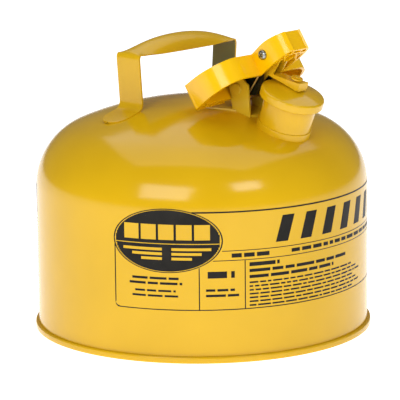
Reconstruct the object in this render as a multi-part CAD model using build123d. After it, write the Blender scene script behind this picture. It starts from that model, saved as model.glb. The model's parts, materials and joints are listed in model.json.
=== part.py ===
from build123d import *
import math
import os

# Safety gas can. Millimetres, +Z up, origin at the centre of the base, spout towards +X.

# can body
WALL_R = 140.0
CHIME_R = 142.875
CHIME_H = 5.5
SHEET = 0.9
SHOULDER_Z = 122.0
SHOULDER_R = 56.0
DOME_R = 277.0
DOME_CENTRE_Z = SHOULDER_Z - math.sqrt((DOME_R - SHOULDER_R) ** 2 - (WALL_R - SHOULDER_R) ** 2)
SEAM_FOOT = 1.6
PAN_Z = 7.0
PAN_RISE = 3.0

# spout, whose axis is a radius of the dome
SPOUT_X = 92.4
TILT = math.degrees(math.asin(SPOUT_X / DOME_R))
SPOUT_R = 22.0
SPOUT_WALL = 1.2
SPOUT_H = 29.0
CAP_TOP_H = 32.3
CAP_R = 26.7
CAP_RIM_H = 7.0
CAP_SHEET = 1.2
CAP_CROWN = 4.6
ARRESTER_R = 16.5
ARRESTER_L = 92.0

# lever hinge
PIVOT = (53.0, 208.3)
PIN_R = 2.5
EAR_IN = 11.4
EAR_T = 1.6
CHEEK_OUT = 5.7
PLATE = 1.5
COIL_R = 8.6
COIL_PITCH = 1.75
WIRE_R = 0.8
LOOP_X = 41.0
LEG_TIP = (80.4, 231.8)
ARM_FRONT = 8.2
ARM_FRONT_H = CAP_TOP_H + 12.2
ARM_REAR = -21.0
ARM_REAR_H = CAP_TOP_H + 7.6
HEAD_DROP = 2.7
OPEN_ANGLE = 24.0
BASE_T = 1.5

# plastic lever: its top plane passes through CREST and climbs towards the spout
CREST = (70.8, 240.0)
SLOPE = 34.0
LEVER_WALL = 2.3
HOOD_W = 14.0
SCREW_SEAT = 15.3
LEVER_TOP = [
    (-58.0, 2.4), (-48.0, 1.8), (-25.0, 0.6), (-6.0, -0.2),
    (4.0, 0.1), (16.0, 1.1), (28.0, 0.6), (40.0, -0.9),
]
LEVER_FOOT = [(-58.0, -20.5), (-20.0, -20.3), (0.0, -19.3), (40.0, -17.4)]
SCREW_S = 11.1
SCREW_H = -7.1
SCREW_R = 2.0
BOSS_R = 4.3

# carry handle
HANDLE_X = -26.5
LEG_FOOT_Y = 55.5
LEG_HEAD_Y = 60.0
STRAP_W = 26.0
STRAP_T = 1.6
LEG_TOP_Z = 236.0
GRIP_TOP_Z = 246.8
FOOT_L = 30.0

spout_frame = Plane(
    origin=(SPOUT_X, 0, DOME_CENTRE_Z + math.sqrt(DOME_R**2 - SPOUT_X**2)),
    x_dir=(math.cos(math.radians(TILT)), 0, -math.sin(math.radians(TILT))),
    z_dir=(math.sin(math.radians(TILT)), 0, math.cos(math.radians(TILT))),
)
lever_frame = Plane(
    origin=(CREST[0], 0, CREST[1]),
    x_dir=(math.cos(math.radians(SLOPE)), 0, math.sin(math.radians(SLOPE))),
    z_dir=(-math.sin(math.radians(SLOPE)), 0, math.cos(math.radians(SLOPE))),
)


def save(shape, node):
    shape.label = node
    export_step(shape, f"parts/{node}.step")


def revolved(points):
    """Turn a closed outline of (radius, height) points about Z."""
    outline = make_face(Polyline(*[(r, 0, z) for r, z in points], close=True).edges())
    return revolve(outline, Axis.Z, 360)


def disc(radius, low, high):
    return Pos(0, 0, low) * Cylinder(radius, high - low, align=(Align.CENTER, Align.CENTER, Align.MIN))


def ring(outer, inner, low, high):
    return disc(outer, low, high) - disc(inner, low - 1, high + 1)


def circles(shape, radius):
    """The round edges of one radius."""
    round_edges = [edge for edge in shape.edges() if edge.geom_type == GeomType.CIRCLE]
    return [edge for edge in round_edges if abs(edge.radius - radius) < 0.01]


def pin_y(x, z, radius, low, high):
    """A round bar along Y at (x, z)."""
    bar = Cylinder(radius, high - low, align=(Align.CENTER, Align.CENTER, Align.MIN))
    return Pos(x, low, z) * Rot(-90, 0, 0) * bar


def foot_height_at(x, y):
    """Height of the dome's surface at a place."""
    return DOME_CENTRE_Z + math.sqrt(DOME_R**2 - x**2 - y**2)


def dome_solid(offset):
    """The dome's sphere, grown by an offset."""
    return Pos(0, 0, DOME_CENTRE_Z) * Sphere(DOME_R + offset)


def plate_xz(points, low, high):
    """A flat plate with an outline of (x, z) points, between two Y positions."""
    face = make_face(Polyline(*[(x, low, z) for x, z in points], close=True).edges())
    return extrude(face, high - low, dir=(0, 1, 0))


def on_lever(s, h):
    """The (x, z) place of a point s along the lever and h above its top plane."""
    place = lever_frame.from_local_coords(Vector(s, 0, h))
    return place.X, place.Z


def on_spout(a, h):
    """The (x, z) place of a point a across the spout and h up its axis."""
    place = spout_frame.from_local_coords(Vector(a, 0, h))
    return place.X, place.Z


# ---- can body ----

def shell_surface(offset):
    """The solid inside the drawn shell, its surface moved in by an offset."""
    wall = WALL_R - offset
    top = DOME_CENTRE_Z + DOME_R - offset
    turn = math.atan2(WALL_R - SHOULDER_R, SHOULDER_Z - DOME_CENTRE_Z)
    corner = SHOULDER_R - offset
    middle = (turn + math.pi / 2) / 2
    centre_r = WALL_R - SHOULDER_R

    def shoulder(angle):
        return (centre_r + corner * math.sin(angle), 0, SHOULDER_Z + corner * math.cos(angle))

    def crown(angle):
        return ((DOME_R - offset) * math.sin(angle), 0, DOME_CENTRE_Z + (DOME_R - offset) * math.cos(angle))

    outline = [
        Line((0, 0, SEAM_FOOT), (wall, 0, SEAM_FOOT)),
        Line((wall, 0, SEAM_FOOT), (wall, 0, SHOULDER_Z)),
        ThreePointArc((wall, 0, SHOULDER_Z), shoulder(middle), shoulder(turn)),
        ThreePointArc(crown(turn), crown(turn / 2), (0, 0, top)),
        Line((0, 0, top), (0, 0, SEAM_FOOT)),
    ]
    return revolve(make_face(outline), Axis.Z, 360)


def make_body_shell():
    """Drawn steel shell: wall, round shoulder and shallow dome, open below."""
    shell = shell_surface(0) - shell_surface(SHEET)
    return shell - spout_frame.location * disc(SPOUT_R, -10, 10)


def make_bottom_pan():
    """Recessed bottom with a raised middle, its skirt seamed to the wall."""
    skirt = WALL_R - SHEET
    points = [
        (skirt, SEAM_FOOT),
        (skirt, PAN_Z + SHEET),
        (100, PAN_Z + SHEET),
        (86, PAN_Z + SHEET + PAN_RISE),
        (0, PAN_Z + SHEET + PAN_RISE),
        (0, PAN_Z + PAN_RISE),
        (86, PAN_Z + PAN_RISE),
        (100, PAN_Z),
        (skirt - SHEET, PAN_Z),
        (skirt - SHEET, SEAM_FOOT),
    ]
    return revolved(points)


def make_bottom_seam():
    """Rolled chime ring that the can stands on."""
    inner = WALL_R - 2 * SHEET
    section = revolved([
        (inner, 0),
        (CHIME_R, 0),
        (CHIME_R, CHIME_H),
        (WALL_R, CHIME_H),
        (WALL_R, SEAM_FOOT),
        (inner, SEAM_FOOT),
    ])
    return fillet(circles(section, CHIME_R), 1.3)


# ---- spout ----

def make_spout_tube():
    tube = ring(SPOUT_R, SPOUT_R - SPOUT_WALL, -6, SPOUT_H)
    return spout_frame.location * tube


def make_base_bead():
    """Rolled bead round the foot of the spout, following the dome."""
    bead = ring(SPOUT_R + 0.9, SPOUT_R, -3, 4.4)
    bead = fillet(circles(bead, SPOUT_R + 0.9), 0.7)
    return spout_frame.location * bead - dome_solid(0)


def make_pour_lip():
    """Turned-out round lip at the mouth of the spout."""
    lip = ring(SPOUT_R + 2.2, SPOUT_R, SPOUT_H - 3.2, SPOUT_H)
    return spout_frame.location * fillet(circles(lip, SPOUT_R + 2.2), 1.5)


def make_screen():
    """Long strainer that stops a flame from reaching the fuel."""
    return spout_frame.location * ring(ARRESTER_R, ARRESTER_R - 0.6, SPOUT_H - 4 - ARRESTER_L, SPOUT_H - 4)


def make_screen_collar():
    """Pressed collar that holds the strainer in the spout."""
    bore = SPOUT_R - SPOUT_WALL
    collar = revolved([
        (ARRESTER_R, SPOUT_H - 9),
        (ARRESTER_R + 0.8, SPOUT_H - 9),
        (ARRESTER_R + 0.8, SPOUT_H - 4.8),
        (bore, SPOUT_H - 4.8),
        (bore, SPOUT_H - 4.0),
        (ARRESTER_R, SPOUT_H - 4.0),
    ])
    return spout_frame.location * collar


def make_screen_end():
    """Closed end cup of the strainer."""
    foot = SPOUT_H - 4 - ARRESTER_L
    plate = disc(ARRESTER_R + 0.8, foot - 0.8, foot)
    skirt = ring(ARRESTER_R + 0.8, ARRESTER_R, foot, foot + 6)
    return spout_frame.location * (plate + skirt)


# ---- carry handle ----

def strap(path_points, radii, width, centre_x):
    """A flat strap of one width bent along a path in a YZ plane."""
    line = FilletPolyline(*[(centre_x, y, z) for y, z in path_points], radius=radii)
    start = Plane(origin=line @ 0, z_dir=line % 0, x_dir=(1, 0, 0))
    return sweep(start * Rectangle(width, STRAP_T), path=line)


def foot_height(y):
    """Height of the dome under the strap's middle line."""
    return foot_height_at(HANDLE_X, y)


def make_leg():
    """One leg with its turned-out foot, its top bent over to meet the grip."""
    tip_y = LEG_FOOT_Y + FOOT_L
    path = [
        (tip_y, foot_height(tip_y) + STRAP_T / 2 + 0.4),
        (LEG_FOOT_Y, foot_height(LEG_FOOT_Y) + STRAP_T / 2 + 0.7),
        (LEG_HEAD_Y, LEG_TOP_Z - STRAP_T / 2),
        (LEG_HEAD_Y - 9.0, LEG_TOP_Z - STRAP_T / 2 + 2.9),
    ]
    leg = strap(path, [8.0, 3.0], STRAP_W, HANDLE_X)
    round_y = tip_y - STRAP_W / 2
    tip = Pos(HANDLE_X, round_y, 0) * Cylinder(STRAP_W / 2, 600)
    block = Pos(HANDLE_X, round_y / 2, 0) * Box(STRAP_W + 4, round_y, 600)
    return leg & (tip + block)


def make_handle():
    """Welded strap handle: two legs with turned-out feet and a rolled grip."""
    leg = make_leg()
    return leg + mirror(leg, Plane.XZ) + make_grip() - dome_solid(0)


def grip_section(y, top_z, half_w, drop):
    """Closed crescent across the grip: an arched strap with its long edges rolled under."""
    inner = half_w - STRAP_T
    edge_z = top_z - drop
    left, right = HANDLE_X - half_w, HANDLE_X + half_w
    under_left = (HANDLE_X - inner, y, edge_z - 0.5)
    under_right = (HANDLE_X + inner, y, edge_z - 0.5)
    return make_face([
        ThreePointArc((left, y, edge_z), (HANDLE_X, y, top_z), (right, y, edge_z)),
        Line((right, y, edge_z), under_right),
        ThreePointArc(under_right, (HANDLE_X, y, top_z - STRAP_T), under_left),
        Line(under_left, (left, y, edge_z)),
    ])


def make_grip():
    """Arched grip whose edges roll down soon after each leg."""
    sections = []
    for place in (-1.0, -0.8, -0.4, 0.0, 0.4, 0.8, 1.0):
        y = place * (LEG_HEAD_Y - 3.0)
        rise = 1 - place**2
        roll = 1 - abs(place) ** 5
        top = LEG_TOP_Z + 0.5 + (GRIP_TOP_Z - LEG_TOP_Z - 0.5) * rise
        sections.append(grip_section(y, top, STRAP_W / 2 + 1.6 * roll, 0.8 + 12.0 * roll))
    return loft(sections)


# ---- hinge ----

def make_bracket():
    """U bracket on the dome: a base with a broad tongue and two ears."""
    low_z = 180
    ear_out = EAR_IN + EAR_T
    corners = [
        (30, -28), (46, -17), (52, -ear_out), (66, -ear_out), (69.5, -5),
        (69.5, 5), (66, ear_out), (52, ear_out), (46, 17), (30, 28),
    ]
    footprint = extrude(Pos(0, 0, low_z) * make_face(Polyline(*corners, close=True).edges()), 20)
    base = footprint & (dome_solid(BASE_T) - dome_solid(0))
    x, z = PIVOT
    ear_outline = [
        (50.2, 180), (67.6, 180), (65.0, 213), (60.0, 216.6),
        (52.5, 217.2), (46.5, 214.4), (44.4, 208.5),
    ]
    bracket = base
    for side in (1, -1):
        low = EAR_IN if side > 0 else -EAR_IN - EAR_T
        ear = plate_xz(ear_outline, low, low + EAR_T) - dome_solid(0)
        bracket = bracket + ear
    return bracket - pin_y(x, z, PIN_R, -20, 20)


def make_pin():
    """Riveted hinge pin with a flat head outside each ear."""
    x, z = PIVOT
    face = EAR_IN + EAR_T
    pin = pin_y(x, z, PIN_R, -face, face)
    for side in (1, -1):
        head = pin_y(x, z, 4.8, face, face + 1.6) if side > 0 else pin_y(x, z, 4.8, -face - 1.6, -face)
        pin = pin + fillet(head.edges().group_by(Axis.Y)[-1 if side > 0 else 0], 0.9)
    return pin


def wire_along(path):
    start = Plane(origin=path @ 0, z_dir=path % 0)
    return sweep(start * Circle(WIRE_R), path=path)


def half_spring():
    """One leg, one coil and half the rear loop, with the coil's axis along Z and its front at +X."""
    x, z = PIVOT
    tip = (LEG_TIP[0] - x, z - LEG_TIP[1])
    start_angle = math.acos(COIL_R / math.hypot(*tip)) + math.atan2(tip[1], tip[0])
    turn = math.degrees(2.5 * math.pi - start_angle)
    rise = COIL_PITCH * turn / 360
    coil = Rot(0, 0, math.degrees(start_angle)) * Helix(pitch=COIL_PITCH, height=rise, radius=COIL_R)
    loop_drop = z - foot_height_at(LOOP_X, 0) - BASE_T - WIRE_R - 0.1
    rear = FilletPolyline(
        (0, COIL_R, rise), (-3, COIL_R, rise), (LOOP_X - x, loop_drop, rise),
        (LOOP_X - x, loop_drop, -CHEEK_OUT - WIRE_R - 0.1), radius=[1.5, 2.0])
    leg = Line((tip[0], tip[1], 0), coil @ 0)
    coil_start = Plane(origin=coil @ 0, z_dir=coil % 0)
    coil_body = sweep(coil_start * Circle(WIRE_R), path=coil, is_frenet=True)
    return [wire_along(leg), coil_body, wire_along(rear)]


def make_torsion_spring():
    """Double coil on the pin: long legs lift the lever and a rear loop bears on the base."""
    place = Pos(PIVOT[0], CHEEK_OUT + WIRE_R + 0.1, PIVOT[1]) * Rot(-90, 0, 0)
    near = [place * piece for piece in half_spring()]
    far = [mirror(piece, Plane.XZ) for piece in near]
    solids = [solid for piece in near + far for solid in piece.solids()]
    return Compound(children=solids)


# ---- arm ----

def arm_outline():
    """Side view of the arm: hinge eye, upright under the lever and channel over the cap."""
    return [
        (56.5, 202.2), (66.5, 203.7), (73.0, 213.2),
        on_spout(-25.5, CAP_TOP_H + 4.8), on_spout(-6.0, CAP_TOP_H + 5.3),
        on_spout(ARM_FRONT, CAP_TOP_H + 5.1),
        on_spout(ARM_FRONT, ARM_FRONT_H), on_spout(ARM_REAR, ARM_REAR_H),
        on_lever(16.5, -16.5), on_lever(16.5, -HEAD_DROP), on_lever(-5.0, -HEAD_DROP),
        (47.6, 213.2),
    ]


def make_arm():
    """Pressed steel arm: two cheeks joined by a top web and a front wall over the cap."""
    x, z = PIVOT
    arm = None
    for low in (-CHEEK_OUT, CHEEK_OUT - PLATE):
        cheek = plate_xz(arm_outline(), low, low + PLATE) + pin_y(x, z, 7.0, low, low + PLATE)
        arm = cheek if arm is None else arm + cheek
    web = plate_xz([
        on_spout(ARM_REAR, ARM_REAR_H), on_spout(ARM_FRONT, ARM_FRONT_H),
        on_spout(ARM_FRONT, ARM_FRONT_H - PLATE), on_spout(ARM_REAR, ARM_REAR_H - PLATE),
    ], -CHEEK_OUT, CHEEK_OUT)
    front = plate_xz([
        on_spout(ARM_FRONT, ARM_FRONT_H), on_spout(ARM_FRONT - PLATE, ARM_FRONT_H),
        on_spout(ARM_FRONT - PLATE, CAP_TOP_H + 5.4), on_spout(ARM_FRONT, CAP_TOP_H + 5.4),
    ], -CHEEK_OUT, CHEEK_OUT)
    head = plate_xz([
        on_lever(16.5, -HEAD_DROP), on_lever(16.5, -HEAD_DROP - PLATE),
        on_lever(-5.0, -HEAD_DROP - PLATE), on_lever(-5.0, -HEAD_DROP),
    ], -CHEEK_OUT, CHEEK_OUT)
    arm = arm + web + front + head
    notches = None
    for side in (1, -1):
        corner = Pos(ARM_FRONT, side * CHEEK_OUT, CAP_TOP_H + 4.0) * Box(2.2, 2.2, 5.6)
        notches = corner if notches is None else notches + corner
    arm = arm - spout_frame.location * notches
    sx, sz = on_lever(SCREW_S, SCREW_H)
    arm = arm - pin_y(sx, sz, SCREW_R, -20, 20)
    arm = arm - pin_y(x, z, PIN_R + 0.05, -20, 20)
    return arm - spout_frame.location * disc(2.05, CAP_TOP_H, CAP_TOP_H + 20)


# ---- lever ----

def paddle_face(inset):
    """Plan of the broad rear paddle, its edge moved in by an inset."""
    middle = -26.5
    along = 1 - inset / 27.0
    across = 1 - inset / 52.0

    def at(s, y):
        return (middle + (s - middle) * along, y * across)

    edges = []
    for side in (1, -1):
        edges.append(Line(at(-1.4, 0), at(-1.0, side * 32)))
        edges.append(Spline(
            at(-1.0, side * 32), at(-6.0, side * 45), at(-18, side * 52),
            at(-33, side * 52.5), at(-48, side * 49.5)))
        edges.append(ThreePointArc(at(-48, side * 49.5), at(-51.8, side * 48), at(-53, side * 43.5)))
        edges.append(Spline(at(-53, side * 43.5), at(-54.5, side * 20), at(-55, 0)))
    return make_face(edges)


def hood_face(inset):
    """Plan of the narrow hood: bulged sides, round front corners and a recessed front."""
    middle = 18.0
    along = 1 - inset / 19.0
    across = 1 - inset / 15.0

    def at(s, y):
        return (middle + (s - middle) * along, y * across)

    edges = [Line(at(36.4, -8), at(36.4, 8)), Line(at(-20, -HOOD_W), at(-20, HOOD_W))]
    for side in (1, -1):
        edges.append(Line(at(-20, side * HOOD_W), at(0, side * HOOD_W)))
        edges.append(Spline(at(0, side * HOOD_W), at(8, side * 15.2), at(17, side * 16), at(27, side * 15.2),
                            at(34.6, side * 12.4), at(37.8, side * 9)))
        edges.append(Line(at(37.8, side * 9), at(36.4, side * 8)))
    return make_face(edges)


def side_slab(drop, foot):
    """Everything between the lever's arched top, lowered by a drop, and its foot line."""
    top = Spline(*[(s, 0, h - drop) for s, h in LEVER_TOP])
    start, end = top @ 0, top @ 1
    rest = [(s, 0, h - foot) for s, h in LEVER_FOOT]
    sides = Polyline((end.X, 0, end.Z), *rest[::-1], (start.X, 0, start.Z))
    return Pos(0, -60, 0) * extrude(make_face([top] + sides.edges()), 120, dir=(0, 1, 0))


def lever_block(inset, drop, foot):
    """The lever's outer or inner form."""
    plan = Pos(0, 0, 10) * (extrude(paddle_face(inset), -60) + extrude(hood_face(inset), -60))
    return plan & side_slab(drop, foot)


def lever_ribs():
    """Stiffening ribs and the thick rear bar with its row of round pockets."""
    pieces = []
    for side in (1, -1):
        for y in (21, 35):
            pieces.append(Pos(-24, side * y, -1) * Box(56, 1.8, 16))
        pieces.append(Pos(-20, side * 34, -1) * Box(1.8, 40, 16))
        for turn in (40, -40):
            pieces.append(Pos(23.5, side * 7, -9) * Rot(0, 0, turn) * Box(20, 1.5, 30))
        pieces.append(Pos(33.0, side * 5, -9) * Box(8, 1.5, 30))
    pieces.append(Pos(29.5, 0, -9) * Box(1.6, 32, 30))
    bar = Pos(-47, 0, -9) * Box(13, 104, 30)
    for step in range(-5, 6):
        bar = bar - Pos(-46, step * 8.4, -16) * Cylinder(3.1, 20)
    for piece in pieces:
        bar = bar + piece
    return bar


def lever_well():
    """Room under the lever for the hinge, the spring and the arm."""
    wide = Pos(-24.9, 0, -30) * Box(50.8, 2 * (EAR_IN + EAR_T) + 5, 80)
    front = Pos(0, 0, -30) * Box(34, 24, 80)
    return (wide + front) & (Pos(0, 0, 10) * extrude(paddle_face(LEVER_WALL), -60)
                             + Pos(0, 0, 10) * extrude(hood_face(LEVER_WALL), -60))


def make_lever():
    """Moulded lever: thin walls round an open underside, clear of the dome when pressed."""
    outer = lever_block(0, 0, 0)
    room = lever_block(LEVER_WALL, LEVER_WALL, 20)
    ribs = (lever_ribs() & room & lever_block(LEVER_WALL / 2, 0, 0)) - lever_well()
    lever = (outer - room) + ribs
    for side in (1, -1):
        low = CHEEK_OUT if side > 0 else -14.6
        boss = Cylinder(BOSS_R, 14.6 - CHEEK_OUT, align=(Align.CENTER, Align.CENTER, Align.MIN))
        lever = lever + Pos(SCREW_S, low, SCREW_H) * Rot(-90, 0, 0) * boss
        seat = Cylinder(4.6, 3, align=(Align.CENTER, Align.CENTER, Align.MIN))
        lever = lever - Pos(SCREW_S, side * (SCREW_SEAT + 1.5) - 1.5, SCREW_H) * Rot(-90, 0, 0) * seat
    lever = lever - Pos(SCREW_S, 0, SCREW_H) * Rot(90, 0, 0) * Cylinder(SCREW_R, 60)
    lever = lever_frame.location * lever
    swing = Pos(PIVOT[0], 0, PIVOT[1]) * Rot(0, OPEN_ANGLE, 0) * Pos(-PIVOT[0], 0, -PIVOT[1])
    return lever - swing * dome_solid(BASE_T + 0.6)


def make_screw():
    """Pan-head cross screw through the hood and the arm."""
    x, z = on_lever(SCREW_S, SCREW_H)
    head = pin_y(x, z, 4.1, -SCREW_SEAT - 2.6, -SCREW_SEAT)
    head = fillet(head.edges().group_by(Axis.Y)[0], 1.9)
    for turn in (45, 135):
        slot = Pos(x, -SCREW_SEAT - 2.6, z) * Rot(0, turn, 0) * Box(4.6, 2.4, 0.9)
        head = head - slot
    return head + pin_y(x, z, SCREW_R, -SCREW_SEAT, SCREW_SEAT + 4.5)


def make_nut():
    x, z = on_lever(SCREW_S, SCREW_H)
    flats = extrude(Plane(origin=(x, SCREW_SEAT, z), z_dir=(0, 1, 0)) * RegularPolygon(4.0, 6), 3.2)
    return flats - pin_y(x, z, SCREW_R, 0, 40)


# ---- cap ----

def make_cap():
    """Drawn cap with a raised crown and a rolled rim over the pour lip."""
    top = CAP_TOP_H
    t = CAP_SHEET
    crown_r = (CAP_R**2 + CAP_CROWN**2) / (2 * CAP_CROWN)
    dome = Pos(0, 0, top + CAP_CROWN - crown_r) * (Sphere(crown_r) - Sphere(crown_r - t))
    dome = dome & disc(CAP_R - 0.6, top - 1.0, top + 20)
    skirt = ring(CAP_R, CAP_R - t, top - CAP_RIM_H, top)
    skirt = skirt + ring(CAP_R, CAP_R - 2.5, top - 1.2, top)
    bead = Pos(0, 0, top - CAP_RIM_H + 0.9) * Torus(CAP_R - 0.9, 0.9)
    cap = dome + skirt + bead
    return spout_frame.location * (cap - disc(2.0, 0, 60))


def make_gasket():
    """Flat soft seal between the cap and the pour lip."""
    seal = ring(CAP_R - 2.6, 13.0, SPOUT_H, SPOUT_H + 2.1)
    return spout_frame.location * seal


def make_gasket_retainer():
    """Dished washer that holds the seal inside the cap."""
    low = SPOUT_H - 1.0
    plate = disc(15.5, low, SPOUT_H) + disc(13.0, SPOUT_H, SPOUT_H + 2.1)
    return spout_frame.location * (plate - disc(2.0, 0, 60))


def make_stud():
    """Rivet that carries the cap and slides in the arm for pressure relief."""
    top = CAP_TOP_H + 12.1
    foot = SPOUT_H - 2.4
    stem = disc(1.95, foot, top + 0.5)
    head = fillet(circles(disc(4.9, top, top + 1.4), 4.9)[-1], 0.6)
    button = fillet(circles(disc(2.7, top + 1.4, top + 2.5), 2.7)[-1], 0.7)
    inner_head = disc(4.2, foot, SPOUT_H - 1.0)
    return spout_frame.location * (stem + head + button + inner_head)


def make_relief_spring():
    """Compression spring between the cap and the arm."""
    low = CAP_TOP_H + CAP_CROWN + 0.45
    high = CAP_TOP_H + 8.6
    wire = 0.45
    coil = Helix(pitch=(high - low - 2 * wire) / 4, height=high - low - 2 * wire, radius=3.4)
    start = Plane(origin=coil @ 0, z_dir=coil % 0)
    body = sweep(start * Circle(wire), path=coil, is_frenet=True)
    return spout_frame.location * Pos(0, 0, low + wire) * body


def main():
    os.makedirs("parts", exist_ok=True)
    makers = {
        "body_shell": make_body_shell,
        "bottom_pan": make_bottom_pan,
        "bottom_seam_ring": make_bottom_seam,
        "spout_tube": make_spout_tube,
        "spout_base_bead": make_base_bead,
        "pour_lip": make_pour_lip,
        "arrester_screen": make_screen,
        "arrester_collar": make_screen_collar,
        "arrester_end": make_screen_end,
        "carry_handle": make_handle,
        "hinge_bracket": make_bracket,
        "hinge_pin": make_pin,
        "torsion_spring": make_torsion_spring,
        "cap_arm": make_arm,
        "trigger_lever": make_lever,
        "lever_screw": make_screw,
        "lever_nut": make_nut,
        "cap_disc": make_cap,
        "cap_gasket": make_gasket,
        "gasket_retainer": make_gasket_retainer,
        "relief_stud": make_stud,
        "relief_spring": make_relief_spring,
    }
    for node, maker in makers.items():
        save(maker(), node)


if __name__ == "__main__":
    main()
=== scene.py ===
import json
import math
import random

import bmesh
import bpy
from mathutils import Matrix, Vector


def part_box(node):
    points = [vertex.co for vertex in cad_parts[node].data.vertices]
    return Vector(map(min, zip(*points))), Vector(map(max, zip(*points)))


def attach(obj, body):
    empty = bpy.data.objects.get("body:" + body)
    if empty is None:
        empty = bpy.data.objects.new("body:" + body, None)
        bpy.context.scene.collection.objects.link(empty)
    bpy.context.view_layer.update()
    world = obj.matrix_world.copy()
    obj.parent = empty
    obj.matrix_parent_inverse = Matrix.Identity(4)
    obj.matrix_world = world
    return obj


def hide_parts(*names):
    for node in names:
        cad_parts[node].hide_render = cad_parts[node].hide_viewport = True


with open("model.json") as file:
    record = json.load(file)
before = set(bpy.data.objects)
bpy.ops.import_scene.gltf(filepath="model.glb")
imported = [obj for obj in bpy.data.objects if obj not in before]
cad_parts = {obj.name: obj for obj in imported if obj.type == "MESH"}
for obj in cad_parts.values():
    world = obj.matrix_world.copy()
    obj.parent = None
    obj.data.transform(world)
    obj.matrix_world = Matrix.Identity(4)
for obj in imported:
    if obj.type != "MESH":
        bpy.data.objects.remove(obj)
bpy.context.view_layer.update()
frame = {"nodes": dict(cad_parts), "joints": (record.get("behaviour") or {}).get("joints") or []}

# ---- places and sizes, in metres ----

MM = 0.001
seam_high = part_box("bottom_seam_ring")[1]
shell_low, shell_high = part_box("body_shell")
CHIME_R = seam_high.x
CHIME_H = seam_high.z
WALL_R = shell_high.x
DOME_TOP = shell_high.z
SHEET = 0.9 * MM
SHOULDER_R = 56 * MM
DOME_R = 277 * MM
DOME_CENTRE = DOME_TOP - DOME_R
SHOULDER_Z = DOME_CENTRE + math.sqrt((DOME_R - SHOULDER_R) ** 2 - (WALL_R - SHOULDER_R) ** 2)

joints = {joint["name"]: joint for joint in frame["joints"]}
spout_axis = Vector(joints["cap_relief"]["axis"]).normalized()
SPOUT_R = (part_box("spout_tube")[1].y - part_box("spout_tube")[0].y) / 2
CAP_R = (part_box("cap_disc")[1].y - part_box("cap_disc")[0].y) / 2
SPOUT_H = 29 * MM
SPOUT_SHEET = 1.2 * MM
BEAD_LOW = -2.6 * MM
BEAD_HIGH = 4.3 * MM
BEAD_OUT = 0.9 * MM
LIP_DEPTH = 3.2 * MM
LIP_OUT = 2.2 * MM
CAP_TOP = 32.3 * MM
CAP_RIM = 7 * MM
CAP_CROWN = 4.6 * MM
CAP_SHEET = 1.2 * MM

handle_low, handle_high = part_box("carry_handle")
HANDLE_X = (handle_low.x + handle_high.x) / 2
LEG_FOOT_Y = 55.5 * MM
LEG_HEAD_Y = 60.0 * MM
LEG_TOP = 236.0 * MM
STRAP_HALF = 13 * MM
STRAP_T = 1.6 * MM
pivot = Vector(joints["lever_hinge"]["pos_m"])

VIEW_TURN = 43.0    # degrees that the camera stands round the can
FACING = math.radians(VIEW_TURN - 90)


# ---- materials ----

def node_of(tree, kind, **values):
    node = tree.nodes.new(kind)
    for name, value in values.items():
        setattr(node, name, value)
    return node


def new_material(name, roughness, metallic=0.0, coat=0.0, coat_roughness=0.05, specular=0.5):
    """A principled material and its tree."""
    material = bpy.data.materials.new(name)
    material.use_nodes = True
    shader = material.node_tree.nodes["Principled BSDF"]
    shader.inputs["Roughness"].default_value = roughness
    shader.inputs["Metallic"].default_value = metallic
    shader.inputs["Specular IOR Level"].default_value = specular
    shader.inputs["Coat Weight"].default_value = coat
    shader.inputs["Coat Roughness"].default_value = coat_roughness
    return material, material.node_tree, shader


def add_noise(tree, scale, detail=3.0):
    place = node_of(tree, "ShaderNodeTexCoord")
    noise = node_of(tree, "ShaderNodeTexNoise")
    noise.inputs["Scale"].default_value = scale
    noise.inputs["Detail"].default_value = detail
    tree.links.new(place.outputs["Object"], noise.inputs["Vector"])
    return noise.outputs["Fac"]


def add_ramp(tree, factor, low, high, start=0.3, end=0.7):
    ramp = node_of(tree, "ShaderNodeValToRGB")
    ramp.color_ramp.elements[0].position = start
    ramp.color_ramp.elements[0].color = (*low, 1)
    ramp.color_ramp.elements[1].position = end
    ramp.color_ramp.elements[1].color = (*high, 1)
    tree.links.new(factor, ramp.inputs["Fac"])
    return ramp.outputs["Color"]


def add_bump(tree, shader, height, strength, distance):
    bump = node_of(tree, "ShaderNodeBump")
    bump.inputs["Strength"].default_value = strength
    bump.inputs["Distance"].default_value = distance
    tree.links.new(height, bump.inputs["Height"])
    tree.links.new(bump.outputs["Normal"], shader.inputs["Normal"])


def painted(name, low, high, roughness, coat, texture_scale, depth, bump=0.25):
    """Baked enamel: slightly uneven colour and a fine orange-peel surface."""
    material, tree, shader = new_material(name, roughness, coat=coat, specular=0.4)
    colour = add_ramp(tree, add_noise(tree, 14.0), low, high)
    tree.links.new(colour, shader.inputs["Base Color"])
    add_bump(tree, shader, add_noise(tree, texture_scale, 2.0), bump, depth)
    return material


def metal(name, low, high, roughness, scratch_scale=220.0, bump=0.15):
    """Bare or plated steel with cloudy colour and fine marks."""
    material, tree, shader = new_material(name, roughness, metallic=1.0)
    colour = add_ramp(tree, add_noise(tree, 60.0, 6.0), low, high)
    tree.links.new(colour, shader.inputs["Base Color"])
    rough = node_of(tree, "ShaderNodeMapRange")
    rough.inputs["To Min"].default_value = roughness * 0.8
    rough.inputs["To Max"].default_value = roughness * 1.3
    tree.links.new(add_noise(tree, 90.0), rough.inputs["Value"])
    tree.links.new(rough.outputs["Result"], shader.inputs["Roughness"])
    add_bump(tree, shader, add_noise(tree, scratch_scale), bump, 0.0002)
    return material


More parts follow.
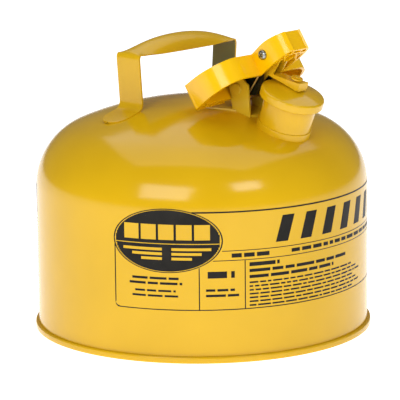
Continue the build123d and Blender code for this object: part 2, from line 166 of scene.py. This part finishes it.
def woven_wire(name):
    """Fine wire cloth: crossed ridges with dark gaps."""
    ridge_scale = 260.0
    material, tree, shader = new_material(name, 0.45, metallic=1.0)
    place = node_of(tree, "ShaderNodeTexCoord")
    waves = []
    for direction in ("Z", "DIAGONAL"):
        wave = node_of(tree, "ShaderNodeTexWave", bands_direction=direction)
        wave.inputs["Scale"].default_value = ridge_scale
        tree.links.new(place.outputs["Object"], wave.inputs["Vector"])
        waves.append(wave.outputs["Fac"])
    mix = node_of(tree, "ShaderNodeMath", operation="MAXIMUM")
    tree.links.new(waves[0], mix.inputs[0])
    tree.links.new(waves[1], mix.inputs[1])
    colour = add_ramp(tree, mix.outputs["Value"], (0.05, 0.05, 0.05), (0.55, 0.55, 0.53), 0.3, 0.6)
    tree.links.new(colour, shader.inputs["Base Color"])
    add_bump(tree, shader, mix.outputs["Value"], 0.8, 0.0004)
    return material


def soft_seal(name):
    """Black rubber with a dull, fine grain."""
    material, tree, shader = new_material(name, 0.7)
    colour = add_ramp(tree, add_noise(tree, 40.0), (0.015, 0.015, 0.015), (0.03, 0.03, 0.03))
    tree.links.new(colour, shader.inputs["Base Color"])
    add_bump(tree, shader, add_noise(tree, 900.0), 0.3, 0.0002)
    return material


def ink(name):
    """Printed black: slightly broken by the paint under it."""
    material, tree, shader = new_material(name, 0.4, specular=0.1)
    colour = add_ramp(tree, add_noise(tree, 60.0), (0.012, 0.011, 0.010), (0.022, 0.020, 0.017))
    tree.links.new(colour, shader.inputs["Base Color"])
    add_bump(tree, shader, add_noise(tree, 900.0), 0.2, 0.0001)
    return material


def add_painted_shade(material, dark, axis, start, end):
    """Paint shade onto a finish: darker along one axis of the object, between two places on it."""
    tree = material.node_tree
    shader = tree.nodes["Principled BSDF"]
    paint = shader.inputs["Base Color"].links[0].from_socket
    place = node_of(tree, "ShaderNodeTexCoord")
    split = node_of(tree, "ShaderNodeSeparateXYZ")
    tree.links.new(place.outputs["Object"], split.inputs["Vector"])
    share = node_of(tree, "ShaderNodeMapRange")
    share.inputs["From Min"].default_value = start
    share.inputs["From Max"].default_value = end
    tree.links.new(split.outputs[axis], share.inputs["Value"])
    mix = node_of(tree, "ShaderNodeMix", data_type="RGBA")
    mix.inputs["A"].default_value = (*dark, 1)
    tree.links.new(share.outputs["Result"], mix.inputs["Factor"])
    tree.links.new(paint, mix.inputs["B"])
    tree.links.new(mix.outputs["Result"], shader.inputs["Base Color"])


YELLOW_LOW = (0.69, 0.405, 0.003)
YELLOW_HIGH = (0.75, 0.445, 0.005)
ARM_PAINTED_SHADE = (0.076, 0.082)    # places along X where the painted shade on the arm's rear gives way to yellow
body_paint = painted("body_paint", YELLOW_LOW, YELLOW_HIGH,
                     roughness=0.15, coat=0.0, texture_scale=800.0, depth=0.0001)
handle_paint = painted("handle_paint", YELLOW_LOW, YELLOW_HIGH,
                       roughness=0.26, coat=0.0, texture_scale=500.0, depth=0.0002, bump=0.3)
inner_paint = painted("inner_paint", (0.075, 0.078, 0.010), (0.20, 0.17, 0.012),
                      roughness=0.35, coat=0.0, texture_scale=300.0, depth=0.0002)
cap_paint = painted("cap_paint", YELLOW_LOW, YELLOW_HIGH,
                    roughness=0.15, coat=0.2, texture_scale=500.0, depth=0.0001)
arm_paint = painted("arm_paint", (0.78, 0.46, 0.006), (0.86, 0.52, 0.010),
                    roughness=0.2, coat=0.1, texture_scale=300.0, depth=0.0002)
# painted shade: the arm's rear part, in shadow behind the hinge ear, is coloured near-black
add_painted_shade(arm_paint, (0.012, 0.014, 0.006), "X", *ARM_PAINTED_SHADE)
hinge_paint = painted("hinge_paint", (0.56, 0.42, 0.02), (0.82, 0.56, 0.02),
                      roughness=0.26, coat=0.1, texture_scale=150.0, depth=0.0002)
lever_plastic = painted("lever_plastic", (0.95, 0.52, 0.000), (0.99, 0.58, 0.001),
                        roughness=0.2, coat=0.15, texture_scale=420.0, depth=0.0001, bump=0.15)
spring_wire = metal("spring_wire", (0.50, 0.40, 0.14), (0.70, 0.58, 0.24), roughness=0.3)
chrome = metal("bright_plate", (0.22, 0.23, 0.22), (0.45, 0.46, 0.44),
               roughness=0.2, scratch_scale=400.0, bump=0.05)
plated = metal("zinc_plate", (0.42, 0.42, 0.40), (0.60, 0.60, 0.57), roughness=0.38)
wire_cloth = woven_wire("wire_cloth")
seal_rubber = soft_seal("seal_rubber")
label_ink = ink("label_ink")

cad_materials = {
    "bottom_pan": body_paint,
    "hinge_bracket": hinge_paint,
    "hinge_pin": hinge_paint,
    "cap_arm": arm_paint,
    "relief_stud": arm_paint,
    "relief_spring": spring_wire,
    "trigger_lever": lever_plastic,
    "lever_screw": chrome,
    "lever_nut": chrome,
    "cap_gasket": seal_rubber,
    "gasket_retainer": plated,
    "arrester_screen": wire_cloth,
    "arrester_collar": plated,
    "arrester_end": plated,
}
for node, material in cad_materials.items():
    for slot in frame["nodes"][node].material_slots:
        slot.material = material


# ---- mesh helpers ----

def add_piece(name, mesh, body, material, nodes=(), sharp_angle=35.0):
    """Link a mesh as one piece of the object."""
    mesh.materials.append(material)
    mesh.shade_smooth()
    mesh.set_sharp_from_angle(angle=math.radians(sharp_angle))
    piece = bpy.data.objects.new(name, mesh)
    bpy.context.scene.collection.objects.link(piece)
    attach(piece, body)
    if nodes:
        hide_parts(*nodes)
    return piece


def mesh_from(name, points, faces):
    """A mesh with doubled points merged and its faces turned outward."""
    mesh = bpy.data.meshes.new(name)
    mesh.from_pydata([tuple(point) for point in points], [], faces)
    tidy = bmesh.new()
    tidy.from_mesh(mesh)
    bmesh.ops.remove_doubles(tidy, verts=tidy.verts, dist=1e-7)
    bmesh.ops.recalc_face_normals(tidy, faces=tidy.faces)
    tidy.to_mesh(mesh)
    tidy.free()
    return mesh


def tube_faces(rings, count):
    """Faces of a closed tube through rings of as many points each, its two ends first."""
    total = rings * count
    faces = [tuple(range(count)), tuple(range(total - count, total))]
    for i in range(rings - 1):
        for k in range(count):
            j = (k + 1) % count
            faces.append((i * count + k, (i + 1) * count + k, (i + 1) * count + j, i * count + j))
    return faces


def heading_at(path, i):
    """The direction of a path at one of its places."""
    return (path[min(i + 1, len(path) - 1)] - path[max(i - 1, 0)]).normalized()


def rounded(points, steps=5):
    """An outline of (r, z, corner radius) points with its corners rounded."""
    result = []
    count = len(points)
    for i, (r, z, corner) in enumerate(points):
        here = Vector((r, z))
        if corner <= 0:
            result.append(here)
            continue
        before = Vector(points[i - 1][:2]) - here
        after = Vector(points[(i + 1) % count][:2]) - here
        reach = corner / math.tan(before.angle(after) / 2)
        start = here + before.normalized() * reach
        end = here + after.normalized() * reach
        for step in range(steps + 1):
            t = step / steps
            result.append(start * (1 - t) ** 2 + here * 2 * t * (1 - t) + end * t * t)
    return result


def arc(centre, radius, start, end, steps):
    """Points of an arc, with angles in degrees from the r axis."""
    points = []
    for step in range(steps + 1):
        angle = math.radians(start + (end - start) * step / steps)
        points.append(Vector((centre[0] + radius * math.cos(angle),
                              centre[1] + radius * math.sin(angle))))
    return points


def lathe(name, outline, place=Matrix(), segments=160):
    """A closed outline of (r, z) turned round the Z axis of a place."""
    points = []
    for step in range(segments):
        angle = 2 * math.pi * step / segments
        for r, z in outline:
            points.append(place @ Vector((r * math.cos(angle), r * math.sin(angle), z)))
    count = len(outline)
    faces = []
    for step in range(segments):
        this = step * count
        following = ((step + 1) % segments) * count
        for i in range(count):
            j = (i + 1) % count
            if outline[i][0] < 1e-9 and outline[j][0] < 1e-9:
                continue
            faces.append((this + i, following + i, following + j, this + j))
    return mesh_from(name, points, faces)


spout_turn = spout_axis.to_track_quat("Z", "Y").to_matrix().to_4x4()
spout_place = Matrix.Translation(Vector((0, 0, DOME_CENTRE)) + spout_axis * DOME_R) @ spout_turn


# ---- can body ----

def shell_profile(inset):
    """The shell's outline from its foot to the crown."""
    turn = math.degrees(math.atan2(WALL_R - SHOULDER_R, SHOULDER_Z - DOME_CENTRE))
    foot = shell_low.z
    outline = [Vector((WALL_R - inset, foot + (SHOULDER_Z - foot) * k / 24)) for k in range(24)]
    outline += arc((WALL_R - SHOULDER_R, SHOULDER_Z), SHOULDER_R - inset, 0, 90 - turn, 28)
    outline += arc((0, DOME_CENTRE), DOME_R - inset, 90 - turn, 90, 36)[1:]
    return outline


def build_shell():
    """The drawn shell, with a round hole where the spout stands."""
    hole_reach = 0.02
    outer = shell_profile(0)
    inner = shell_profile(SHEET)
    mesh = lathe("can_shell", outer + inner[::-1], segments=256)
    hole = rounded([
        (0, -hole_reach, 0), (SPOUT_R, -hole_reach, 0), (SPOUT_R, hole_reach, 0), (0, hole_reach, 0)])
    cutter_mesh = lathe("hole_tool", hole, spout_place, 96)
    return cut_with("can_shell", mesh, cutter_mesh)


def cut_with(name, mesh, cutter_mesh):
    """The mesh with the cutter taken away."""
    collection = bpy.context.scene.collection
    whole = bpy.data.objects.new(name + "_whole", mesh)
    cutter = bpy.data.objects.new(name + "_cutter", cutter_mesh)
    collection.objects.link(whole)
    collection.objects.link(cutter)
    cut = whole.modifiers.new("cut", "BOOLEAN")
    cut.object = cutter
    cut.operation = "DIFFERENCE"
    cut.solver = "EXACT"
    bpy.context.view_layer.update()
    evaluated = whole.evaluated_get(bpy.context.evaluated_depsgraph_get())
    result = bpy.data.meshes.new_from_object(evaluated)
    result.name = name
    bpy.data.objects.remove(whole)
    bpy.data.objects.remove(cutter)
    return result


add_piece("can_shell", build_shell(), "can", body_paint, ["body_shell"])

WALL_GAP = 0.02 * MM    # keeps the ring's face off the wall's
PAN_RISE = 1.7 * MM
seam_outline = rounded([
    (WALL_R - 2 * SHEET, 0.0, 0.3 * MM),
    (CHIME_R, 0.0, 1.4 * MM),
    (CHIME_R, CHIME_H, 1.5 * MM),
    (WALL_R + WALL_GAP, CHIME_H, 0.1 * MM),
    (WALL_R + WALL_GAP, PAN_RISE, 0),
    (WALL_R - 2 * SHEET, PAN_RISE, 0),
])
add_piece("base_ring", lathe("base_ring", seam_outline, segments=256),
          "can", body_paint, ["bottom_seam_ring"])


# ---- spout and cap ----

def build_spout():
    """Neck, bead round its foot and rolled lip at its mouth."""
    tube = rounded([
        (SPOUT_R - SPOUT_SHEET, -6 * MM, 0),
        (SPOUT_R, -6 * MM, 0),
        (SPOUT_R, SPOUT_H - 4 * MM, 0),
        (SPOUT_R, SPOUT_H - 0.1 * MM, 0),
        (SPOUT_R - SPOUT_SHEET, SPOUT_H - 0.1 * MM, 0.4 * MM),
    ])
    add_piece("spout_neck", lathe("spout_neck", tube, spout_place),
              "can", body_paint, ["spout_tube"])
    bead = rounded([
        (SPOUT_R, BEAD_LOW, 0),
        (SPOUT_R + BEAD_OUT, BEAD_LOW, 0),
        (SPOUT_R + BEAD_OUT, BEAD_HIGH, 0.8 * MM),
        (SPOUT_R, BEAD_HIGH, 0),
    ], 8)
    add_piece("spout_bead", lathe("spout_bead", bead, spout_place),
              "can", body_paint, ["spout_base_bead"])
    lip = rounded([
        (SPOUT_R - 0.1 * MM, SPOUT_H - LIP_DEPTH, 0),
        (SPOUT_R + LIP_OUT, SPOUT_H - LIP_DEPTH, 1.5 * MM),
        (SPOUT_R + LIP_OUT, SPOUT_H, 1.5 * MM),
        (SPOUT_R - 0.1 * MM, SPOUT_H, 0.3 * MM),
    ], 8)
    add_piece("mouth_lip", lathe("mouth_lip", lip, spout_place),
              "can", body_paint, ["pour_lip"])


def build_cap():
    """Drawn cap: shallow crown with a hole for the stud, round shoulder and rolled rim."""
    crown_r = (CAP_R**2 + CAP_CROWN**2) / (2 * CAP_CROWN)
    middle = (0, CAP_TOP + CAP_CROWN - crown_r)
    edge = math.degrees(math.asin((CAP_R - 2.4 * MM) / crown_r))
    hole = math.degrees(math.asin(2.0 * MM / crown_r))
    outline = arc(middle, crown_r, 90 - hole, 90 - edge, 14)
    outline += arc((CAP_R - 2.2 * MM, CAP_TOP - 1.6 * MM), 2.2 * MM, 80, 0, 8)
    outline += arc((CAP_R - 0.9 * MM, CAP_TOP - CAP_RIM + 0.95 * MM), 0.93 * MM, 25, -160, 10)
    outline += [Vector((CAP_R - CAP_SHEET, CAP_TOP - CAP_RIM + 2 * MM)),
                Vector((CAP_R - CAP_SHEET, CAP_TOP - 1.3 * MM))]
    outline += arc(middle, crown_r - CAP_SHEET, 90 - edge, 90 - hole, 10)
    add_piece("cap_cover", lathe("cap_cover", outline, spout_place, 128),
              "cap", cap_paint, ["cap_disc"])


build_spout()
build_cap()


# ---- label print, wrapped round the wall ----

INK_R = WALL_R + 0.07 * MM
LABEL_LEFT = -30.5      # angles on the wall in degrees, heights in millimetres
LABEL_RIGHT = 128.0
LABEL_TOP = 124.6
LABEL_BOTTOM = 44.1
CORNER_W = 1.6
CORNER_H = 4.2
LINE = 0.8
BADGE = (-12.0, 101.0)
BADGE_HALF = (17.9, 25.2)
OUTLINE_HALF = (18.75, 26.4)
OUTLINE_INNER = 0.975
SIDE_LEFT = -128.0
SIDE_RIGHT = -83.2
SIDE_LINE = 0.4


def on_wall(angle, height):
    """A place on the wall, its angle in degrees to the right of the camera's middle line."""
    turn = FACING + math.radians(angle)
    return Vector((INK_R * math.cos(turn), INK_R * math.sin(turn), height * MM))


def badge_reach(angle, half, scale=1.0):
    """Half the height of the badge's oval at an angle."""
    part = (angle - BADGE[0]) / (half[0] * scale)
    return half[1] * scale * math.sqrt(max(0.0, 1 - part * part))


def corner_height(angle):
    """Height of the label frame's round lower left corner at an angle."""
    part = (LABEL_LEFT + CORNER_W - angle) / CORNER_W
    return LABEL_BOTTOM + CORNER_H - CORNER_H * math.sqrt(max(0, 1 - part ** 2))


class Print:
    """Flat printed shapes gathered into one mesh."""

    def __init__(self):
        self.points = []
        self.faces = []

    def band(self, left, right, low, high, step=1.5):
        """A shape between two heights that are functions of the angle."""
        columns = max(1, round(abs(right - left) / step))
        first = len(self.points)
        for k in range(columns + 1):
            angle = left + (right - left) * k / columns
            self.points += [on_wall(angle, low(angle)), on_wall(angle, high(angle))]
        for k in range(columns):
            i = first + 2 * k
            self.faces.append((i, i + 2, i + 3, i + 1))

    def bar(self, left, right, low, high):
        """A plain block between two angles and two heights."""
        self.band(left, right, lambda angle: low, lambda angle: high)

    def slanted(self, left, right, low, high, lean):
        """A parallelogram whose top leans to the right, in strips that follow the wall."""
        columns = max(2, round((right - left) / 1.2))
        first = len(self.points)
        for k in range(columns + 1):
            foot = left + (right - left) * k / columns
            for level in (0.0, 0.5, 1.0):
                self.points.append(on_wall(foot + lean * level, low + (high - low) * level))
        for k in range(columns):
            for level in (0, 1):
                i = first + 3 * k + level
                self.faces.append((i, i + 3, i + 4, i + 1))

    def words(self, left, right, middle, height, seed, word=(2.2, 5.5), gap=0.9):
        """A row of plain dashes with uneven lengths in place of a line of small print."""
        chance = random.Random(seed)
        start = left
        while start < right - 0.8:
            end = min(start + chance.uniform(*word), right)
            self.bar(start, end, middle - height / 2, middle + height / 2)
            start = end + gap

    def badge_outline(self, steps=96):
        """A thin oval line round the badge."""
        for sign in (1, -1):
            first = len(self.points)
            for k in range(steps + 1):
                angle = BADGE[0] - OUTLINE_HALF[0] * math.cos(math.pi * k / steps)
                for scale in (OUTLINE_INNER, 1.0):
                    height = BADGE[1] + sign * badge_reach(angle, OUTLINE_HALF, scale)
                    self.points.append(on_wall(angle, height))
            for k in range(steps):
                i = first + 2 * k
                self.faces.append((i, i + 2, i + 3, i + 1))


def print_label():
    """The label's frame, column lines and rules, and the line round the badge."""
    page = Print()
    page.bar(-3.5, LABEL_RIGHT, LABEL_TOP - LINE, LABEL_TOP + LINE / 2)
    page.bar(LABEL_LEFT + CORNER_W, LABEL_RIGHT, LABEL_BOTTOM - LINE / 2, LABEL_BOTTOM + LINE / 2)
    page.bar(LABEL_LEFT, LABEL_LEFT + 0.38, LABEL_BOTTOM + 4, 96)
    page.band(LABEL_LEFT, LABEL_LEFT + CORNER_W,
              lambda angle: corner_height(angle) - LINE / 2,
              lambda angle: corner_height(angle) + LINE, 0.2)
    page.bar(-1.35, -1.0, LABEL_BOTTOM, 79)
    page.bar(13.95, 14.3, LABEL_BOTTOM, 84.5)
    page.bar(6.4, LABEL_RIGHT, 92.2, 92.8)
    page.bar(3.4, LABEL_RIGHT, 84.3, 84.9)
    page.badge_outline()
    return page


def print_badge():
    """A filled oval with a line, a row of plain blocks and two sets of bars left open."""
    page = Print()
    middle, level_line = BADGE
    half_angle = BADGE_HALF[0]
    openings = [(-30.0, 6.0, 98.2, 98.9)]
    for k in range(5):
        left = -26.6 + 6.0 * k
        openings.append((left, left + 5.2, 101.8, 114.4))
    for k in range(3):
        spread = 13.4 - 3.2 * k
        foot = 93.0 - 3.9 * k
        openings.append((-13.6 - spread, -13.6, foot, foot + 2.3))
        openings.append((-10.4, -10.4 + spread, foot, foot + 2.3))
    step = 0.4
    for k in range(round(2 * half_angle / step)):
        left = middle - half_angle + k * step
        right = min(left + step, middle + half_angle)
        here = (left + right) / 2
        reach = badge_reach(here, BADGE_HALF)
        level, top = level_line - reach, level_line + reach
        for start, end in sorted((low, high) for a, b, low, high in openings if a <= here <= b):
            if level < start < top:
                page.bar(left, right, level, start)
                level = end
        if level < top:
            page.bar(left, right, level, top)
    return page


def print_text():
    """Plain stripes and dashes where the label has its words."""
    page = Print()
    # broad leaning stripes in place of the large heading
    for k in range(9):
        left = 25.0 + k * 9.6
        page.slanted(left, left + 4.6, 97.0, 118.6, 2.6)
    # heading rows between the rules
    page.words(9.6, 24.0, 88.6, 3.4, 11, (2.4, 4.6), 0.8)
    page.words(31.0, 110.0, 88.6, 3.0, 12, (1.8, 5.0), 0.9)
    # bold and small rows of the warning column
    page.words(15.6, 26.4, 80.6, 3.2, 21, (9.0, 10.6), 0.6)
    page.words(15.6, 58.0, 75.4, 2.6, 22, (3.5, 7.5), 0.8)
    page.words(15.6, 50.0, 70.4, 2.6, 23, (3.5, 7.0), 0.8)
    for row in range(7):
        page.words(15.6, 62.0 + 3 * (row % 3), 65.6 - 3.15 * row, 1.35, 30 + row, (1.2, 4.6), 0.6)
    # type column
    page.bar(1.6, 8.0, 70.3, 75.8)
    page.bar(9.4, 10.6, 70.3, 75.8)
    page.words(1.0, 10.6, 60.4, 2.0, 51, (2.6, 4.6), 0.7)
    page.words(1.0, 12.2, 55.9, 2.0, 52, (3.6, 6.6), 0.7)
    # address column
    page.words(-24.0, -8.0, 70.0, 2.0, 61, (3.0, 8.0), 0.7)
    page.words(-25.0, -6.8, 65.8, 2.0, 62, (3.0, 6.0), 0.7)
    page.words(-23.0, -9.0, 59.6, 1.7, 63, (2.6, 4.6), 0.7)
    page.words(-24.0, -8.2, 55.4, 1.7, 64, (3.6, 6.0), 0.7)
    # second label round the side: a dark panel in a plain frame, with rows of dashes
    page.bar(SIDE_LEFT, SIDE_RIGHT, 100.0, LABEL_TOP)
    page.bar(SIDE_LEFT, SIDE_RIGHT, LABEL_BOTTOM, LABEL_BOTTOM + LINE)
    page.bar(SIDE_LEFT, SIDE_LEFT + SIDE_LINE, LABEL_BOTTOM, LABEL_TOP)
    page.bar(SIDE_RIGHT - SIDE_LINE, SIDE_RIGHT, LABEL_BOTTOM, LABEL_TOP)
    for row in range(8):
        page.words(-125.0, -87.0, 92.0 - 5.4 * row, 2.0, 70 + row, (2.0, 6.0), 0.8)
    return page


label_pages = {"label_lines": print_label(), "label_badge": print_badge(), "label_rows": print_text()}
for name, page in label_pages.items():
    mesh = bpy.data.meshes.new(name)
    mesh.from_pydata([tuple(point) for point in page.points], [], page.faces)
    add_piece(name, mesh, "can", label_ink)


# ---- carry handle ----

SEAT_GAP = 0.35 * MM
FOOT_BEND = 7 * MM
HEAD_BEND = 6.5 * MM
GRIP_CURVE = 2.2            # higher is flatter in the grip's middle
ROLL_LENGTH = 34 * MM       # distance over which the edges come to roll under
GRIP_WIDER = 1.5 * MM       # on each side, against the legs


def dome_height(x, y):
    """Height of the dome's outer face."""
    return DOME_CENTRE + math.sqrt(DOME_R**2 - x * x - y * y)


def bend(corner, before, after, radius, steps=10):
    """Points of a round bend at the corner of two lines."""
    back = (Vector(before) - Vector(corner)).normalized()
    ahead = (Vector(after) - Vector(corner)).normalized()
    half = back.angle(ahead) / 2
    reach = radius / math.tan(half)
    middle = Vector(corner) + (back + ahead).normalized() * radius / math.sin(half)
    start = Vector(corner) + back * reach - middle
    sweep = math.pi - 2 * half
    if back.x * ahead.y - back.y * ahead.x > 0:
        sweep = -sweep
    return [middle + Matrix.Rotation(sweep * k / steps, 2) @ start for k in range(steps + 1)]


def handle_path():
    """(y, z) places along the outer face of one half, from the foot's tip to the grip's middle."""
    tip_y = handle_high.y - 0.2 * MM
    lift = STRAP_T + SEAT_GAP
    foot = []
    for k in range(18):
        foot.append(Vector((tip_y - k * MM, dome_height(HANDLE_X, tip_y - k * MM) + lift)))
    knee = (LEG_FOOT_Y + STRAP_T, dome_height(HANDLE_X, LEG_FOOT_Y) + lift)
    shoulder = (LEG_HEAD_Y + 0.8 * MM, LEG_TOP)
    grip = []
    top = handle_high.z - 0.1 * MM
    for k in range(1, 31):
        y = shoulder[0] * (1 - k / 30)
        part = y / shoulder[0]
        grip.append(Vector((y, top - (top - LEG_TOP) * abs(part) ** GRIP_CURVE)))
    path = foot + bend(knee, foot[-1], shoulder, FOOT_BEND)
    for k in range(1, 12):
        path.append(path[-1].lerp(Vector(shoulder), 0.12))
    path += bend(shoulder, knee, grip[4], HEAD_BEND)
    path += [point for point in grip if point.x < path[-1].x - 1 * MM]
    return path


def smooth_step(value):
    """0 below 0, 1 above 1 and a smooth rise between."""
    value = min(1.0, max(0.0, value))
    return value * value * (3 - 2 * value)


def build_handle():
    """One bent strap whose long edges roll under along the grip."""
    half = handle_path()
    path = half + [Vector((-point.x, point.y)) for point in half[-2::-1]]
    tip_y = half[0].x
    across = 16
    points = []
    for i, point in enumerate(path):
        ahead = heading_at(path, i)
        inward = Vector((-ahead.y, ahead.x))
        on_grip = point.y > LEG_TOP - 6 * MM
        roll = smooth_step((LEG_HEAD_Y + 2 * MM - abs(point.x)) / ROLL_LENGTH) if on_grip else 0.0
        half_width = STRAP_HALF + GRIP_WIDER * roll
        beyond = STRAP_HALF - (tip_y - abs(point.x))
        if beyond > 0 and not on_grip:
            half_width = math.sqrt(max((0.5 * MM) ** 2, STRAP_HALF**2 - beyond**2))
        edge = LEG_TOP - 0.4 * MM - 2.0 * MM * roll
        depth = max(0.2 * MM, point.y - edge) if roll > 0 else 0.2 * MM
        open_angle = 2 * math.atan(depth / half_width)
        radius = half_width / math.sin(open_angle)
        for side, scale in ((1, radius), (-1, radius - STRAP_T)):
            for k in range(across + 1):
                turn = open_angle * (2 * k / across - 1) * side
                sink = radius - scale * math.cos(turn)
                place = point + inward * sink
                points.append((HANDLE_X + scale * math.sin(turn), place.x, place.y))
    mesh = mesh_from("handle_strap", points, tube_faces(len(path), 2 * (across + 1)))
    add_piece("handle_strap", mesh, "can", handle_paint, ["carry_handle"], 40.0)
    # the faces that the legs turn to each other are darker
    mesh.materials.append(inner_paint)
    inner_foot = dome_height(HANDLE_X, LEG_FOOT_Y) + 8 * MM
    for face in mesh.polygons:
        facing_in = face.normal.y * (1 if face.center.y < 0 else -1)
        if facing_in > 0.6 and face.center.z > inner_foot:
            face.material_index = 1


build_handle()


# ---- torsion spring ----

WIRE = 0.8 * MM
COIL_R = 8.6 * MM
COIL_PITCH = 1.75 * MM
COIL_STEPS = 96
CHEEK = 7.9 * MM
LEG_TIP = Vector((80.4, 231.8)) * MM
# The CAD has its rear loop at 41 mm, where the opened lever cuts into it. Here it stands
# clear of the lever, so this piece differs from the solid by 3.5 mm.
LOOP_X = 44.5 * MM


def wire_mesh(name, path, radius=WIRE, sides=14):
    """A round wire along a list of places, with closed ends."""
    points = []
    side = None
    for i, place in enumerate(path):
        ahead = heading_at(path, i)
        if side is None:
            side = ahead.orthogonal().normalized()
        side = (side - ahead * side.dot(ahead)).normalized()
        other = ahead.cross(side)
        for k in range(sides):
            turn = 2 * math.pi * k / sides
            points.append(place + side * radius * math.cos(turn) + other * radius * math.sin(turn))
    return mesh_from(name, points, tube_faces(len(path), sides))


def build_torsion_spring():
    """Two coils on the hinge pin: legs that ride under the lever and rear ends on the dome."""
    tip = LEG_TIP - Vector((pivot.x, pivot.z))
    lean = math.acos(COIL_R / tip.length)
    first = math.atan2(tip.y, tip.x) - lean
    last = -math.pi * 2.5
    loop_z = dome_height(LOOP_X, 0) + 1.5 * MM + WIRE + 0.15 * MM
    for side in (1, -1):
        end = "near" if side < 0 else "far"
        coil = []
        for k in range(COIL_STEPS + 1):
            turn = first + (last - first) * k / COIL_STEPS
            depth = CHEEK + COIL_PITCH * (first - turn) / (2 * math.pi)
            coil.append(Vector((pivot.x + COIL_R * math.cos(turn), side * depth,
                                pivot.z + COIL_R * math.sin(turn))))
        rise = coil[-1].y
        rear = [coil[-1], Vector((pivot.x - 3 * MM, rise, pivot.z - COIL_R))]
        for k in range(1, 20):
            rear.append(rear[1].lerp(Vector((LOOP_X, rise, loop_z)), k / 20))
        rear += [Vector((LOOP_X, rise * (1 - k / 10), loop_z)) for k in range(11)]
        add_piece("spring_coil_" + end, wire_mesh("spring_coil_" + end, coil + rear[1:]),
                  "can", spring_wire, ["torsion_spring"], 60.0)
        start = Vector((LEG_TIP.x, side * CHEEK, LEG_TIP.y))
        leg = [start.lerp(coil[0], k / 12) for k in range(13)]
        add_piece("spring_leg_" + end, wire_mesh("spring_leg_" + end, leg),
                  "lever", spring_wire, ["torsion_spring"], 60.0)


build_torsion_spring()


# ---- stage ----

def add_floor():
    """White paper under the can."""
    mesh = bpy.data.meshes.new("floor")
    half = 6.0
    corners = [(-half, -half, 0), (half, -half, 0), (half, half, 0), (-half, half, 0)]
    mesh.from_pydata(corners, [], [(0, 1, 2, 3)])
    material, tree, shader = new_material("floor_paper", 0.9)
    shader.inputs["Emission Color"].default_value = (1.0, 1.0, 1.0, 1)
    shader.inputs["Emission Strength"].default_value = 0.9
    colour = add_ramp(tree, add_noise(tree, 3.0), (0.90, 0.90, 0.90), (0.93, 0.93, 0.93))
    tree.links.new(colour, shader.inputs["Base Color"])
    mesh.materials.append(material)
    floor = bpy.data.objects.new("floor", mesh)
    bpy.context.scene.collection.objects.link(floor)


def add_light(name, location, target, size, power, size_y=None):
    """A soft lamp that faces a target, in metres and watts."""
    data = bpy.data.lights.new(name, "AREA")
    data.energy = power
    data.size = size
    if size_y:
        data.shape = "RECTANGLE"
        data.size_y = size_y
    lamp = bpy.data.objects.new(name, data)
    lamp.location = location
    lamp.rotation_mode = "QUATERNION"
    lamp.rotation_quaternion = (Vector(target) - Vector(location)).to_track_quat("-Z", "Y")
    bpy.context.scene.collection.objects.link(lamp)


def view_point(right, back, up):
    """A place given as seen by the camera: right, away from it and up."""
    turn = math.radians(VIEW_TURN)
    across = Vector((math.cos(turn), math.sin(turn), 0))
    away = Vector((-math.sin(turn), math.cos(turn), 0))
    return across * right + away * back + Vector((0, 0, up))


SENSOR_MM = 36.0
LENS_MM = 261.63
CAMERA_BACK = 2.4136
CAMERA_UP = 0.61206
CAMERA_PITCH = 11.851
CAMERA_YAW = VIEW_TURN + 0.04
CAMERA_ROLL = 0.62


def add_camera():
    """A long lens, placed so that the can's outline matches the photographed one."""
    data = bpy.data.cameras.new("camera")
    data.sensor_width = SENSOR_MM
    data.lens = LENS_MM
    data.clip_start = 0.05
    data.clip_end = 50.0
    camera = bpy.data.objects.new("camera", data)
    camera.location = view_point(0, -CAMERA_BACK, CAMERA_UP)
    camera.rotation_mode = "QUATERNION"
    yaw = Matrix.Rotation(math.radians(CAMERA_YAW), 4, "Z")
    pitch = Matrix.Rotation(math.pi / 2 - math.radians(CAMERA_PITCH), 4, "X")
    roll = Matrix.Rotation(-math.radians(CAMERA_ROLL), 4, "Z")
    camera.rotation_quaternion = (yaw @ pitch @ roll).to_quaternion()
    bpy.context.scene.collection.objects.link(camera)
    bpy.context.scene.camera = camera


def add_world():
    """Even, weak light from all round."""
    world = bpy.data.worlds.new("studio")
    world.use_nodes = True
    world.node_tree.nodes["Background"].inputs["Color"].default_value = (1.0, 1.0, 1.0, 1)
    world.node_tree.nodes["Background"].inputs["Strength"].default_value = 0.15
    bpy.context.scene.world = world
    bpy.context.scene.view_settings.view_transform = "Standard"
    bpy.context.scene.view_settings.look = "None"


add_floor()
add_camera()
add_world()
add_light("key", view_point(-0.64, -1.35, 0.78), view_point(-0.03, -0.13, 0.14),
          size=0.95, power=9.2, size_y=0.62)
add_light("top", view_point(0.1, 0.4, 1.9), (0, 0, 0.2), size=2.4, power=21)
add_light("side", view_point(0.75, -1.17, 0.96), view_point(0.04, -0.13, 0.14),
          size=0.50, power=3.6, size_y=0.36)
